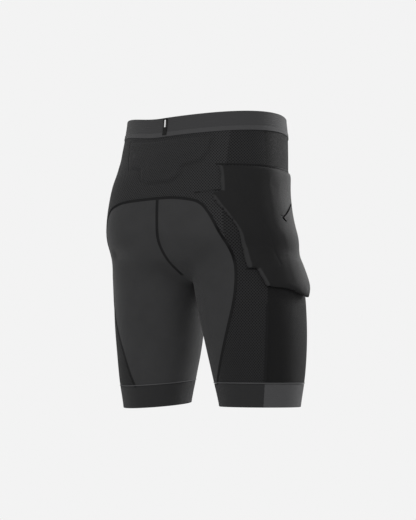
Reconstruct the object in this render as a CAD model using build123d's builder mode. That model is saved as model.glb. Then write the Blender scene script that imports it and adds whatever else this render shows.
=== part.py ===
from build123d import *
from functools import lru_cache
from math import atan2, cos, sin
import os

# Padded impact shorts, in the shape they take when worn. Millimetres, +Z up. The origin is the
# centre of the waist opening, level with the highest points of its rim. The wearer faces -Y, the
# wearer's left is +X and the wearer's right is -X.

# ---- overall sizes of the worn shape ---------------------------------------------------------
waist_width = 306.0         # outside, side to side, at the rim
waist_depth = 230.0         # outside, front to back, at the rim
hip_width = 356.0           # at the seat line, where the trunk is widest
hip_depth = 240.0
seat_drop = 222.0           # rim to seat line
crotch_drop = 290.0         # rim to crotch
side_length = 500.0         # rim to hem
stance = 222.0              # between the two hem centres
thigh_long = 188.0          # thigh section, its long and short diameters
thigh_short = 167.0
thigh_turn = 40.0           # degrees that the long diameter turns forwards on the outer side
hem_long = 138.0
hem_short = 121.0
hem_set_forward = 11.0      # hem centre in front of the waist centre
thigh_set_back = 1.0        # thigh centre behind it, at the crotch
# Trunk sections above the seat line: share of the way down, share of the way from the waist's
# size to the hip's, and set back.
upper_trunk = (
    (0.0, 0.0, -2.0),
    (0.16, 0.20, 0.0),
    (0.40, 0.46, 9.0),
    (0.62, 0.62, 16.0),
    (0.86, 0.92, 16.0),
    (1.0, 1.0, 11.0),
)
# Trunk sections below it: share of the way to the crotch, shares of the hip section, set back.
lower_trunk = (
    (0.40, 0.95, 0.85, 6.0),
    (0.68, 0.80, 0.60, 4.0),
    (0.88, 0.56, 0.34, 4.0),
)
# Thigh sections inside the hip: share of the way from the seat line to the crotch, share of the
# half stance, set back, shares of half the thigh section, and turn.
upper_leg = (
    (-1.5, 0.54, 30.0, 0.62, 0.84, 0.0),
    (-0.76, 0.66, 20.0, 0.72, 1.00, 0.0),
    (-0.10, 0.75, 12.0, 0.85, 1.07, 0.0),
    (0.50, 0.80, 6.0, 0.94, 1.03, -22.0),
)

# ---- cloth and trim ----------------------------------------------------------------------------
fabric = 1.5                # stretch cloth, at its stretched thickness
seam_gap = 0.4              # between the cut edges of neighbouring panels
band_height = 34.0          # elastic waistband
band_swell = 1.2            # the elastic stands this far outside the cloth
band_dip = 8.0              # the rim is this much lower at the middle than at the sides
edge_strip_height = 8.0     # smooth strip along the band's lower edge
edge_strip_thickness = 0.6
cuff_height = 39.0
cuff_swell = 0.8
piping_height = 1.8
piping_swell = 1.6
gripper_height = 22.0       # silicone band inside each cuff
gripper_thickness = 1.0
gripper_lift = 8.0          # above the hem
seam_width = 5.0            # flat seam with two rows of stitching
seam_height = 0.8
tab_width = 9.0
tab_height = 21.0
tab_thickness = 1.0
tab_corner = 1.5
tab_drop = 3.0              # from the rim to the tab

# ---- pads ------------------------------------------------------------------------------------
hip_pad_thickness = 6.5
hip_cover_thickness = 1.0
hip_backing_thickness = 0.8
pad_clearance = 0.3         # between foam and the cloth around it
cover_rim = 2.5             # cloth outside the foam's edge
flex_groove = 3.0           # width of the grooves that let the foam bend
flex_groove_depth = 3.5
tailbone_pad_thickness = 6.0
tailbone_pocket_thickness = 0.8

# ---- worked out from those sizes -------------------------------------------------------------
hem_z = -side_length
cuff_top_z = hem_z + cuff_height
piping_top_z = cuff_top_z + seam_gap + piping_height
panel_end_z = piping_top_z + seam_gap
tab_low_z = -band_dip - tab_drop - tab_height
reach = 400.0               # longer than the garment is wide, for cutting prisms
open_run = 30.0             # how far the cutting form runs past the waist and the hems
leg_free_z = -crotch_drop - 10.0    # from here down each leg stands by itself

# ---- cut lines -------------------------------------------------------------------------------
# The seat seam, seen from behind: an arch under the yoke, then down each leg to the cuff.
arch_top_z = -150.0          # on the centre line
seat_seam = (
    (50.0, -151.0),
    (78.0, -155.0),
    (97.0, -161.0),
    (110.0, -175.0),
    (122.0, -197.0),
    (136.0, -232.0),
    (143.0, -262.0),
)
# The same seam down the leg: its place from side to side, and share of the way from the crotch
# to the hem.
seat_seam_on_leg = (
    (143.0, 0.024),
    (137.0, 0.190),
    (122.0, 0.405),
    (104.0, 0.619),
)
seat_seam_hem_x = 85.0      # where it meets the cuff
cloth_turn = 19.0           # the shorts sit turned: back seams and pads stand this far round to +X
# The side seam, seen from above: a straight cut from the inner front to the outer back.
side_seam_x = 160.0
side_seam_y = 26.0
side_seam_inner_y = -80.0    # where the two side seams' cuts would meet, on the centre plane
side_seam_top_z = -330.0    # its strip shows from the hip pad down to the cuff
centre_seam_end_z = -262.0
pouch_half = (              # front panel between the two leg fronts, seen from the front
    (52.0, -30.0),
    (46.0, -150.0),
    (34.0, -225.0),
    (12.0, -300.0),
)
# The edge between yoke and side panel, seen from behind, hidden below by the hip pad.
yoke_edge = ((132.0, -30.0), (133.0, -150.0), (134.0, -200.0))
yoke_meets_seam = 5         # at this point of the seat seam
# The tailbone pad, seen from behind: half of a stepped, tapering shape.
tailbone_half = (
    (88.0, -50.0),
    (83.0, -75.0),
    (74.0, -89.0),
    (42.0, -96.0),
    (38.0, -114.0),
    (24.0, -122.0),
)
# The hip pad, seen from the side as (y, z): top, stepped back edge, hem, front edge.
hip_pad_outline = (
    (-68.0, -98.0),
    (85.0, -98.0),
    (88.0, -142.0),
    (98.0, -147.0),
    (92.0, -167.0),
    (74.0, -208.0),
    (62.0, -240.0),
    (55.0, -271.0),
    (46.0, -271.0),
    (33.0, -301.0),
    (-2.0, -305.0),
    (-50.0, -317.0),
    (-68.0, -296.0),
    (-76.0, -250.0),
    (-74.0, -170.0),
)
hip_groove_heights = (-160.0, -225.0)
hip_pad_inner_x = 100.0      # the pad lies outside this distance from the middle


def mix(first, last, share):
    """The value a share of the way from first to last."""
    return first + (last - first) * share


def trunk_rows(grow):
    """Rows (z, y, half width, half depth) of the trunk, from the rim to the crotch."""
    rows = []
    for share, swell, back in upper_trunk:
        rows.append((-seat_drop * share, back, mix(waist_width, hip_width, swell) / 2 + grow,
                     mix(waist_depth, hip_depth, swell) / 2 + grow))
    for share, width, depth, back in lower_trunk:
        rows.append((mix(-seat_drop, -crotch_drop, share), back,
                     hip_width / 2 * width + grow, hip_depth / 2 * depth + grow))
    return rows


def leg_rows(grow):
    """Rows (z, x, y, half long, half short, turn) of the left leg, from inside the hip down."""
    rows = []
    for share, spread, back, long, short, turn in upper_leg:
        rows.append((mix(-seat_drop, -crotch_drop, share), stance / 2 * spread, back,
                     thigh_long / 2 * long + grow, thigh_short / 2 * short + grow, turn))
    for share in (0.0, 0.25, 0.5, 0.75, 1.0):
        long = mix(thigh_long, hem_long, share ** 1.6) / 2 + grow
        short = mix(thigh_short, hem_short, share ** 1.6) / 2 + grow
        spread = stance / 2 * mix(0.87, 1.0, 1.0 - (1.0 - share) ** 1.5)
        forward = mix(thigh_set_back, -hem_set_forward, 1.0 - (1.0 - share) ** 1.8)
        rows.append((mix(leg_free_z, hem_z, share), spread, forward, long, short, -thigh_turn))
    return rows


@lru_cache(maxsize=None)
def trunk_form(grow, run=0.0):
    """The trunk of the worn shape, grown outwards; run lengthens it past the rim."""
    rows = trunk_rows(grow)
    if run > 0.0:
        rows.insert(0, (run,) + rows[0][1:])
    with BuildPart(mode=Mode.PRIVATE) as trunk:
        for z, y, half_width, half_depth in rows:
            with BuildSketch(Plane.XY.offset(z)):
                with Locations((0, y)):
                    Ellipse(half_width, half_depth)
        loft()
    return trunk.part


@lru_cache(maxsize=None)
def leg_form(grow, run=0.0):
    """The left leg of the worn shape, grown outwards; run lengthens it past the hem."""
    rows = leg_rows(grow)
    if run > 0.0:
        rows.append((rows[-1][0] - run,) + rows[-1][1:])
    with BuildPart(mode=Mode.PRIVATE) as leg:
        for z, x, y, long, short, turn in rows:
            with BuildSketch(Plane.XY.offset(z)):
                with Locations((x, y)):
                    Ellipse(long, short, rotation=turn)
        loft()
    return leg.part


@lru_cache(maxsize=None)
def worn_form(grow, run=0.0):
    """The whole worn shape as one solid."""
    with BuildPart(mode=Mode.PRIVATE) as form:
        add(trunk_form(grow, run))
        add(leg_form(grow, run))
        add(leg_form(grow, run).mirror(Plane.YZ))
    return form.part


def mirrored(points, side=1):
    """Points with x taken to the wearer's left (+1) or right (-1)."""
    return [(side * x, z) for x, z in points]


def turned(points, side):
    """Points of one side's back, seen from behind, moved round with the turned cloth."""
    return [(x + cloth_turn, z) for x, z in mirrored(points, side)]


def seat_seam_points(side):
    """The seat seam of one side, from the arch to the cuff."""
    leg_length = side_length - crotch_drop
    on_leg = tuple((x, -crotch_drop - share * leg_length) for x, share in seat_seam_on_leg)
    return turned(seat_seam + on_leg + ((seat_seam_hem_x, panel_end_z),), side)


def front_block(side, shift=0.0):
    """Everything in front of and outside the side seam of one leg, moved forwards by shift."""
    seam_y = side_seam_y - side * cloth_turn
    turn = atan2(seam_y - side_seam_inner_y, side_seam_x)
    along = (cos(turn) * side, sin(turn))
    out = (sin(turn) * side, -cos(turn))
    start = (side * side_seam_x + out[0] * shift, seam_y + out[1] * shift)
    with BuildPart(mode=Mode.PRIVATE) as block:
        with BuildSketch(Plane.XY.offset(hem_z - open_run)):
            with BuildLine():
                near = (start[0] - along[0] * reach, start[1] - along[1] * reach)
                far = (start[0] + along[0] * reach, start[1] + along[1] * reach)
                Polyline(near, far, (far[0] + out[0] * reach * 2, far[1] + out[1] * reach * 2),
                         (near[0] + out[0] * reach * 2, near[1] + out[1] * reach * 2), close=True)
            make_face()
        extrude(amount=side_length + open_run * 2)
    return block.part


def prism(points, plane=Plane.XZ):
    """A long prism through the garment, with its outline given on Plane.XZ or Plane.YZ."""
    with BuildPart(mode=Mode.PRIVATE) as block:
        with BuildSketch(plane.offset(-reach)):
            with BuildLine():
                Polyline(*points, close=True)
            make_face()
        extrude(amount=reach * 2)
    return block.part


def dipped_prism(top_z, low_z, low_dip=band_dip):
    """A prism between two arcs, or an arc and a straight line, lower at the middle."""
    half = waist_width * 0.75
    spread = (2.0 * half / waist_width) ** 2
    top_end = top_z - band_dip * (1.0 - spread)
    low_end = low_z - low_dip * (1.0 - spread)
    with BuildPart(mode=Mode.PRIVATE) as block:
        with BuildSketch(Plane.XZ.offset(-reach)):
            with BuildLine():
                top = ThreePointArc((-half, top_end), (0, top_z - band_dip), (half, top_end))
                if low_dip:
                    low = ThreePointArc((-half, low_end), (0, low_z - low_dip), (half, low_end))
                else:
                    low = Line((-half, low_end), (half, low_end))
                Line(top @ 0, low @ 0)
                Line(top @ 1, low @ 1)
            make_face()
        extrude(amount=reach * 2)
    return block.part


def save(piece, label):
    """Label one finished sub-part and write its STEP file."""
    piece.part.label = label
    export_step(piece.part, f"parts/{label}.step")


os.makedirs("parts", exist_ok=True)
sides = {"left": 1, "right": -1}

# ---- waistband: wide knitted elastic, with a smooth strip along its lower edge ----------------
with BuildPart() as waistband:
    add(trunk_form(band_swell, open_run))
    add(dipped_prism(0.0, -band_height), mode=Mode.INTERSECT)
    add(trunk_form(-fabric, open_run), mode=Mode.SUBTRACT)
save(waistband, "waistband")

with BuildPart() as band_edge_strip:
    add(trunk_form(band_swell + edge_strip_thickness, open_run))
    add(dipped_prism(edge_strip_height - band_height, -band_height), mode=Mode.INTERSECT)
    add(trunk_form(band_swell, open_run), mode=Mode.SUBTRACT)
save(band_edge_strip, "band_edge_strip")

# ---- plain woven tab sewn to the middle of the back of the waistband ---------------------------
with BuildPart() as back_tab:
    add(trunk_form(band_swell + tab_thickness, open_run))
    with BuildSketch(Plane.XZ):
        with Locations((0, tab_low_z + tab_height / 2)):
            RectangleRounded(tab_width, tab_height, tab_corner)
    extrude(amount=-waist_depth, mode=Mode.INTERSECT)
    add(trunk_form(band_swell, open_run), mode=Mode.SUBTRACT)
save(back_tab, "back_tab")

# ---- the cloth of the shorts, between the waistband and the cuffs: cut panels of stretch cloth --
below_band = dipped_prism(-band_height - seam_gap, panel_end_z, 0.0)
with BuildPart(mode=Mode.PRIVATE) as body_form:
    add(worn_form(0.0, open_run))
    add(below_band, mode=Mode.INTERSECT)
lining_form = worn_form(-fabric, open_run)
yoke_outline = turned(yoke_edge, 1) + seat_seam_points(1)[yoke_meets_seam::-1]
yoke_outline.append((0.0, arch_top_z))
yoke_outline += seat_seam_points(-1)[:yoke_meets_seam + 1] + turned(yoke_edge, -1)[::-1]

# Yoke: one piece of mesh over the small of the back, from the band to the arch of the seat seam.
with BuildPart() as back_yoke:
    add(body_form.part)
    with BuildSketch(Plane.XZ):
        with BuildLine():
            Polyline(*yoke_outline, close=True)
        make_face()
    extrude(amount=-reach, mode=Mode.INTERSECT)
    add(lining_form, mode=Mode.SUBTRACT)
save(back_yoke, "back_yoke")

for name, side in sides.items():
    seam = seat_seam_points(side)
    middle = (side * seam_gap / 2, arch_top_z)
    front = front_block(side, -seam_gap / 2)

    # Seat panel: smooth cloth over the cheek and the back and inside of the thigh.
    with BuildPart() as seat_panel:
        add(body_form.part)
        seat_outline = [middle] + [(x - side * seam_gap, z - seam_gap) for x, z in seam]
        add(prism(seat_outline + [(middle[0], hem_z)]), mode=Mode.INTERSECT)
        add(front, mode=Mode.SUBTRACT)
        add(lining_form, mode=Mode.SUBTRACT)
    save(seat_panel, f"seat_panel_{name}")

    # Side panel: mesh under the hip pad and down the outer back of the thigh.
    with BuildPart() as side_panel:
        add(body_form.part)
        yoke_side = [(x + side * seam_gap, z) for x, z in turned(yoke_edge, side)]
        side_outline = yoke_side + seam[yoke_meets_seam:] + [(side * reach, panel_end_z)]
        add(prism(side_outline + [(side * reach, yoke_side[0][1])]), mode=Mode.INTERSECT)
        add(front, mode=Mode.SUBTRACT)
        add(lining_form, mode=Mode.SUBTRACT)
    save(side_panel, f"side_panel_{name}")

    # Front panel: stretch mesh over the front of the hip and thigh.
    with BuildPart() as front_panel:
        add(body_form.part)
        add(front_block(side, seam_gap / 2), mode=Mode.INTERSECT)
        pouch_side = [(x + seam_gap, z) for x, z in pouch_half] + [(seam_gap / 2, panel_end_z)]
        outer = [(reach, panel_end_z), (reach, pouch_half[0][1])]
        add(prism(mirrored(pouch_side + outer, side)), mode=Mode.INTERSECT)
        add(lining_form, mode=Mode.SUBTRACT)
    save(front_panel, f"front_panel_{name}")

# Pouch: shaped panel between the two leg fronts, from the band to the crotch.
with BuildPart(mode=Mode.PRIVATE) as pouch_front:
    for side in sides.values():
        add(front_block(side, seam_gap / 2).intersect(
            prism([(0.0, open_run), (side * reach, open_run), (side * reach, hem_z), (0.0, hem_z)])))

with BuildPart() as front_pouch:
    add(body_form.part)
    with BuildSketch(Plane.XZ):
        with BuildLine():
            Polyline(*pouch_half, *reversed(mirrored(pouch_half, -1)), close=True)
        make_face()
    extrude(amount=reach, mode=Mode.INTERSECT)
    add(pouch_front.part, mode=Mode.INTERSECT)
    add(lining_form, mode=Mode.SUBTRACT)
save(front_pouch, "front_pouch")

# ---- flat seams: overlocked strips with two rows of stitching, on top of the panel edges --------
seam_form = worn_form(seam_height, open_run)
skin_form = worn_form(0.0, open_run)


def seam_strip(points, width=seam_width):
    """A prism that follows an open line on Plane.XZ, behind the middle of the garment."""
    with BuildPart(mode=Mode.PRIVATE) as strip:
        with BuildSketch(Plane.XZ):
            with BuildLine() as line:
                Polyline(*points)
            trace(line.line, line_width=width)
        extrude(amount=-reach)
    return strip.part


with BuildPart() as centre_back_seam:
    add(seam_form)
    add(seam_strip([(0.0, arch_top_z - seam_width), (0.0, centre_seam_end_z)]),
        mode=Mode.INTERSECT)
    add(skin_form, mode=Mode.SUBTRACT)
save(centre_back_seam, "centre_back_seam")

for name, side in sides.items():
    with BuildPart() as seat_seam_strip:
        add(seam_form)
        line = [(side * seam_gap, arch_top_z)] + seat_seam_points(side)
        add(seam_strip(line), mode=Mode.INTERSECT)
        add(prism([(0.0, 0.0), (side * reach, 0.0), (side * reach, panel_end_z),
                   (0.0, panel_end_z)]), mode=Mode.INTERSECT)
        add(skin_form, mode=Mode.SUBTRACT)
    save(seat_seam_strip, f"seat_seam_{name}")

    with BuildPart() as side_seam:
        add(seam_form)
        add(front_block(side, -seam_width / 2), mode=Mode.INTERSECT)
        add(front_block(side, seam_width / 2), mode=Mode.SUBTRACT)
        add(prism([(side * stance / 2, side_seam_top_z), (side * reach, side_seam_top_z),
                   (side * reach, panel_end_z), (side * stance / 2, panel_end_z)]),
            mode=Mode.INTERSECT)
        add(skin_form, mode=Mode.SUBTRACT)
    save(side_seam, f"side_seam_{name}")

# ---- cuffs: knitted bands, each with a piping above it and a silicone gripper inside ------------
def leg_of(side, grow):
    """The leg form of one side, grown outwards and run past the hem."""
    leg = leg_form(grow, open_run)
    return leg if side > 0 else leg.mirror(Plane.YZ)


for name, side in sides.items():
    for label, top_z, low_z, out_grow, in_grow in (
            ("leg_cuff", cuff_top_z, hem_z, cuff_swell, -fabric),
            ("cuff_piping", piping_top_z, piping_top_z - piping_height, piping_swell, -fabric),
            ("cuff_gripper", hem_z + gripper_lift + gripper_height, hem_z + gripper_lift,
             -fabric, -fabric - gripper_thickness)):
        with BuildPart() as band:
            add(leg_of(side, out_grow))
            add(prism([(0.0, top_z), (side * reach, top_z), (side * reach, low_z),
                       (0.0, low_z)]), mode=Mode.INTERSECT)
            add(leg_of(side, in_grow), mode=Mode.SUBTRACT)
        save(band, f"{label}_{name}")

# ---- tailbone pad: foam in a pocket on the inside of the yoke ------------------------------------
def tailbone_outline(grow):
    """The tailbone pad seen from behind, grown by an even rim."""
    half = [(x + grow, z + (grow if index == 0 else -grow))
            for index, (x, z) in enumerate(tailbone_half)]
    return half + mirrored(reversed(half), -1)


for label, out_grow, thickness, rim in (
        ("tailbone_pad", -fabric - pad_clearance, tailbone_pad_thickness, 0.0),
        ("tailbone_pocket", -fabric - pad_clearance * 2 - tailbone_pad_thickness,
         tailbone_pocket_thickness, cover_rim)):
    with BuildPart() as layer:
        add(trunk_form(out_grow, open_run))
        with BuildSketch(Plane.XZ):
            with BuildLine():
                Polyline(*tailbone_outline(rim), close=True)
            make_face()
        extrude(amount=-reach, mode=Mode.INTERSECT)
        add(trunk_form(out_grow - thickness, open_run), mode=Mode.SUBTRACT)
    save(layer, label)

# ---- hip pads: grooved foam under a smooth cover, with a backing inside the cloth ----------------
def hip_prism(side, inset=0.0):
    """The hip pad's outline seen from the side, through one side of the garment."""
    with BuildPart(mode=Mode.PRIVATE) as block:
        with BuildSketch(Plane.YZ.offset(hip_pad_inner_x * side)):
            with BuildLine():
                Polyline(*[(y - side * cloth_turn, z) for y, z in hip_pad_outline], close=True)
            make_face()
            if inset:
                offset(amount=-inset, kind=Kind.INTERSECTION, mode=Mode.REPLACE)
        extrude(amount=side * reach)
    return block.part


core_low = pad_clearance
core_top = pad_clearance + hip_pad_thickness
cover_inner = core_top + pad_clearance
cover_outer = cover_inner + hip_cover_thickness
for name, side in sides.items():
    inner_prism = hip_prism(side, cover_rim)
    with BuildPart(mode=Mode.PRIVATE) as grooves:
        for z in hip_groove_heights:
            with BuildSketch(Plane.YZ.offset(hip_pad_inner_x * side)):
                with Locations((0, z)):
                    Rectangle(reach, flex_groove)
            extrude(amount=side * reach)
        add(worn_form(core_top - flex_groove_depth, open_run), mode=Mode.SUBTRACT)

    with BuildPart() as hip_pad:
        add(worn_form(core_top, open_run))
        add(inner_prism, mode=Mode.INTERSECT)
        add(worn_form(core_low, open_run), mode=Mode.SUBTRACT)
        add(grooves.part, mode=Mode.SUBTRACT)
    save(hip_pad, f"hip_pad_{name}")

    with BuildPart(mode=Mode.PRIVATE) as cavity:
        add(worn_form(cover_inner, open_run))
        add(hip_prism(side, cover_rim - pad_clearance), mode=Mode.INTERSECT)
    with BuildPart() as hip_cover:
        add(worn_form(cover_outer, open_run))
        add(hip_prism(side), mode=Mode.INTERSECT)
        add(cavity.part, mode=Mode.SUBTRACT)
        add(worn_form(core_low, open_run), mode=Mode.SUBTRACT)
    save(hip_cover, f"hip_cover_{name}")

    with BuildPart() as hip_backing:
        add(worn_form(-fabric - pad_clearance, open_run))
        add(inner_prism, mode=Mode.INTERSECT)
        add(worn_form(-fabric - pad_clearance - hip_backing_thickness, open_run),
            mode=Mode.SUBTRACT)
    save(hip_backing, f"hip_backing_{name}")
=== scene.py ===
import math

import bmesh
import bpy
import numpy as np
from mathutils import Matrix, Vector
from mathutils.bvhtree import BVHTree


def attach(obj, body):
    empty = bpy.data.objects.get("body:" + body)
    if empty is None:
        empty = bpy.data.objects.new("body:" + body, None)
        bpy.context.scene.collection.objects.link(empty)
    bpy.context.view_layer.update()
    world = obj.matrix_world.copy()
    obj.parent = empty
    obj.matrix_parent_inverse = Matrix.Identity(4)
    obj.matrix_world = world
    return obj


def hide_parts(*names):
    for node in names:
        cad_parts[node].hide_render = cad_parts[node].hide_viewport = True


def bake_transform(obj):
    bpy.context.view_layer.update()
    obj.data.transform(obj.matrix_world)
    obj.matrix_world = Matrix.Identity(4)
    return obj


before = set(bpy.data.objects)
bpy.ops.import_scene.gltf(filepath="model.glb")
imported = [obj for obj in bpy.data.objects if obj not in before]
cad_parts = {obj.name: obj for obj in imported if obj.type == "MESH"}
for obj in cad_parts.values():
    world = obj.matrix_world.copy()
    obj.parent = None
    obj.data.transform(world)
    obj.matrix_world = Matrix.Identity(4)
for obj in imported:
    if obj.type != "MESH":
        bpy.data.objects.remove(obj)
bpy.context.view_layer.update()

# ---- The worn shape --------------------------------------------------------------------------
# Stretch shorts have no shape of their own: every panel takes the shape of the hips and thighs
# inside it. That shape is a trunk and two legs of oval sections, joined and smoothed, and all
# the cloth below is cut from its skin.
WAIST_WIDTH, WAIST_DEPTH = 0.306, 0.230
HIP_WIDTH, HIP_DEPTH = 0.356, 0.240
SEAT_DROP, CROTCH_DROP, SIDE_LENGTH = 0.222, 0.290, 0.500
STANCE = 0.222
THIGH_LONG, THIGH_SHORT, THIGH_TURN = 0.188, 0.167, 40.0
HEM_LONG, HEM_SHORT, HEM_SET_FORWARD = 0.138, 0.121, 0.011
RUN_ON = 0.030           # how far the shape runs past the waist and the hems
GRAIN = 0.003            # size of the skin's faces
UPPER_TRUNK = (          # share of the seat drop, share from waist to hip size, set back
    (0.0, 0.0, -0.002), (0.16, 0.20, 0.0), (0.40, 0.46, 0.009),
    (0.62, 0.62, 0.016), (0.86, 0.92, 0.016), (1.0, 1.0, 0.011))
LOWER_TRUNK = (          # share from seat to crotch, shares of the hip's size, set back
    (0.40, 0.95, 0.85, 0.006), (0.68, 0.80, 0.60, 0.004), (0.88, 0.56, 0.34, 0.004))
UPPER_LEG = (            # share from seat to crotch, share of half stance, set back, sizes, turn
    (-1.5, 0.54, 0.030, 0.62, 0.84, 0.0), (-0.76, 0.66, 0.020, 0.72, 1.00, 0.0),
    (-0.10, 0.75, 0.012, 0.85, 1.07, 0.0), (0.50, 0.80, 0.006, 0.94, 1.03, -22.0))


def mix(first, last, share):
    """The value a share of the way from first to last."""
    return first + (last - first) * share


def ease(value, low, high):
    """0 below low, 1 above high, and a soft step between them."""
    share = np.clip((value - low) / (high - low), 0.0, 1.0)
    return share * share * (3.0 - 2.0 * share)


def through(rows, between=10):
    """Rows on the smooth curve that passes through the given rows."""
    rows = np.array(rows, float)
    ends = np.vstack([2 * rows[0] - rows[1], rows, 2 * rows[-1] - rows[-2]])
    out = []
    for a, b, c, d in zip(ends, ends[1:], ends[2:], ends[3:]):
        for step in range(between):
            t = step / between
            out.append(0.5 * (2 * b + (c - a) * t + (2 * a - 5 * b + 4 * c - d) * t ** 2
                              + (3 * b - a - 3 * c + d) * t ** 3))
    return np.array(out + [rows[-1]])


trunk = [(RUN_ON, -0.002, WAIST_WIDTH / 2, WAIST_DEPTH / 2)]
for share, swell, back in UPPER_TRUNK:
    trunk.append((-SEAT_DROP * share, back, mix(WAIST_WIDTH, HIP_WIDTH, swell) / 2,
                  mix(WAIST_DEPTH, HIP_DEPTH, swell) / 2))
for share, width, depth, back in LOWER_TRUNK:
    trunk.append((mix(-SEAT_DROP, -CROTCH_DROP, share), back,
                  HIP_WIDTH / 2 * width, HIP_DEPTH / 2 * depth))
trunk = through(trunk)

leg = []
for share, spread, back, long, short, turn in UPPER_LEG:
    leg.append((mix(-SEAT_DROP, -CROTCH_DROP, share), STANCE / 2 * spread, back,
                THIGH_LONG / 2 * long, THIGH_SHORT / 2 * short, turn))
for share in (0.0, 0.25, 0.5, 0.75, 1.0):
    late = 1.0 - (1.0 - share) ** 1.8
    leg.append((mix(-CROTCH_DROP - 0.010, -SIDE_LENGTH, share),
                STANCE / 2 * mix(0.87, 1.0, 1.0 - (1.0 - share) ** 1.5),
                mix(0.001, -HEM_SET_FORWARD, late),
                mix(THIGH_LONG, HEM_LONG, share ** 1.6) / 2,
                mix(THIGH_SHORT, HEM_SHORT, share ** 1.6) / 2, -THIGH_TURN))
leg.append((-SIDE_LENGTH - RUN_ON,) + leg[-1][1:])
leg = through(leg)


def at_height(rows, z):
    """The values of dense rows at heights z, after the height itself."""
    return [np.interp(-z, -rows[:, 0], rows[:, i]) for i in range(1, rows.shape[1])]


def trunk_skin(angle, z, grow=0.0):
    """Points of the trunk's section at height z, grown outwards."""
    back, wide, deep = at_height(trunk, z)
    return np.stack([(wide + grow) * np.cos(angle), back + (deep + grow) * np.sin(angle), z], -1)


def leg_skin(angle, z, side, grow=0.0):
    """Points of a leg's section at height z, grown outwards; side is 1 for the left leg."""
    x, y, long, short, turn = at_height(leg, z)
    turn = np.radians(turn)
    along, across = (long + grow) * np.cos(angle), (short + grow) * np.sin(angle)
    return np.stack([side * (x + along * np.cos(turn) - across * np.sin(turn)),
                     y + along * np.sin(turn) + across * np.cos(turn), z], -1)


def link(name, mesh):
    """A new object for a mesh, in the scene."""
    piece = bpy.data.objects.new(name, mesh)
    bpy.context.scene.collection.objects.link(piece)
    return piece


def select_only(piece):
    bpy.ops.object.select_all(action="DESELECT")
    piece.select_set(True)
    bpy.context.view_layer.objects.active = piece


def apply_modifier(piece, kind, **settings):
    """Add one modifier to a piece, set it and apply it."""
    select_only(piece)
    modifier = piece.modifiers.new(kind.lower(), kind)
    for key, value in settings.items():
        setattr(modifier, key, value)
    bpy.ops.object.modifier_apply(modifier=modifier.name)


def grid_faces(rows, columns, loop=True):
    """Quads over a grid of points, closed round the columns where loop is true."""
    last = columns if loop else columns - 1
    return [(r * columns + c, r * columns + (c + 1) % columns,
             (r + 1) * columns + (c + 1) % columns, (r + 1) * columns + c)
            for r in range(rows - 1) for c in range(last)]


def closed_tube(rings):
    """Points and faces of a closed tube through equal rings."""
    count, around = rings.shape[:2]
    points = rings.reshape(-1, 3).tolist()
    faces = grid_faces(count, around)
    return points, faces + [tuple(range(around))[::-1],
                            tuple((count - 1) * around + i for i in range(around))]


AROUND = np.linspace(0.0, 2 * np.pi, 96, endpoint=False)
points, faces = [], []
for rings in ([trunk_skin(AROUND, np.full(96, z)) for z in trunk[:, 0]],
              [leg_skin(AROUND, np.full(96, z), 1) for z in leg[:, 0]],
              [leg_skin(AROUND, np.full(96, z), -1) for z in leg[:, 0]]):
    more_points, more_faces = closed_tube(np.array(rings))
    faces += [tuple(i + len(points) for i in face) for face in more_faces]
    points += more_points
body_mesh = bpy.data.meshes.new("worn_shape")
body_mesh.from_pydata(points, [], faces)
worn = link("worn_shape", body_mesh)
select_only(worn)
bpy.ops.object.mode_set(mode="EDIT")
bpy.ops.mesh.select_all(action="SELECT")
bpy.ops.mesh.normals_make_consistent(inside=False)
bpy.ops.object.mode_set(mode="OBJECT")
apply_modifier(worn, "REMESH", mode="VOXEL", voxel_size=GRAIN)


def places(mesh):
    """Vertex places of a mesh as an array."""
    co = np.empty(len(mesh.vertices) * 3)
    mesh.vertices.foreach_get("co", co)
    return co.reshape(-1, 3)


def put(mesh, co):
    """Move the vertices of a mesh."""
    mesh.vertices.foreach_set("co", co.reshape(-1))
    mesh.update()


def relax(co, edges, pull, rounds):
    """Draw each point towards the middle of its neighbours, rounds times."""
    a, b = edges[:, 0], edges[:, 1]
    count = np.bincount(edges.reshape(-1), minlength=len(co))[:, None]
    for _ in range(rounds):
        total = np.stack([np.bincount(a, co[b, i], len(co)) + np.bincount(b, co[a, i], len(co))
                          for i in range(3)], -1)
        co = co + pull * (total / count - co)
    return co


def edge_pairs(mesh):
    pairs = np.empty(len(mesh.edges) * 2, np.int64)
    mesh.edges.foreach_get("vertices", pairs)
    return pairs.reshape(-1, 2)


def gap_to(co, skin_rows):
    """How far points stand outside the trunk's or a leg's oval tube."""
    if skin_rows.shape[1] == 4:
        back, wide, deep = at_height(skin_rows, co[:, 2])
        x, y = co[:, 0], co[:, 1] - back
    else:
        mid, back, wide, deep, turn = at_height(skin_rows, co[:, 2])
        turn = np.radians(turn)
        dx, dy = np.abs(co[:, 0]) - mid, co[:, 1] - back
        x, y = dx * np.cos(turn) + dy * np.sin(turn), dy * np.cos(turn) - dx * np.sin(turn)
    round_it = np.hypot(x / wide, y / deep)
    return np.hypot(x, y) * (1.0 - 1.0 / np.maximum(round_it, 1e-3))


co, pairs = places(worn.data), edge_pairs(worn.data)
for pull in (0.5, -0.52) * 6:
    co = relax(co, pairs, pull, 1)
crease = np.exp(-(gap_to(co, trunk) ** 2 + gap_to(co, leg) ** 2) / 0.010 ** 2)
crease *= ease(-co[:, 2], 0.13, 0.20) * ease(co[:, 2], -0.36, -0.31)
co = relax(co, pairs, 0.6 * crease[:, None], 70)
co = relax(co, pairs, 0.45, 12)
put(worn.data, co)


def outward(mesh):
    """Vertex normals of a mesh as an array."""
    normals = np.empty(len(mesh.vertices) * 3)
    mesh.vertex_normals.foreach_get("vector", normals)
    return normals.reshape(-1, 3)


put(worn.data, co + outward(worn.data) * 0.0008)

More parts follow.
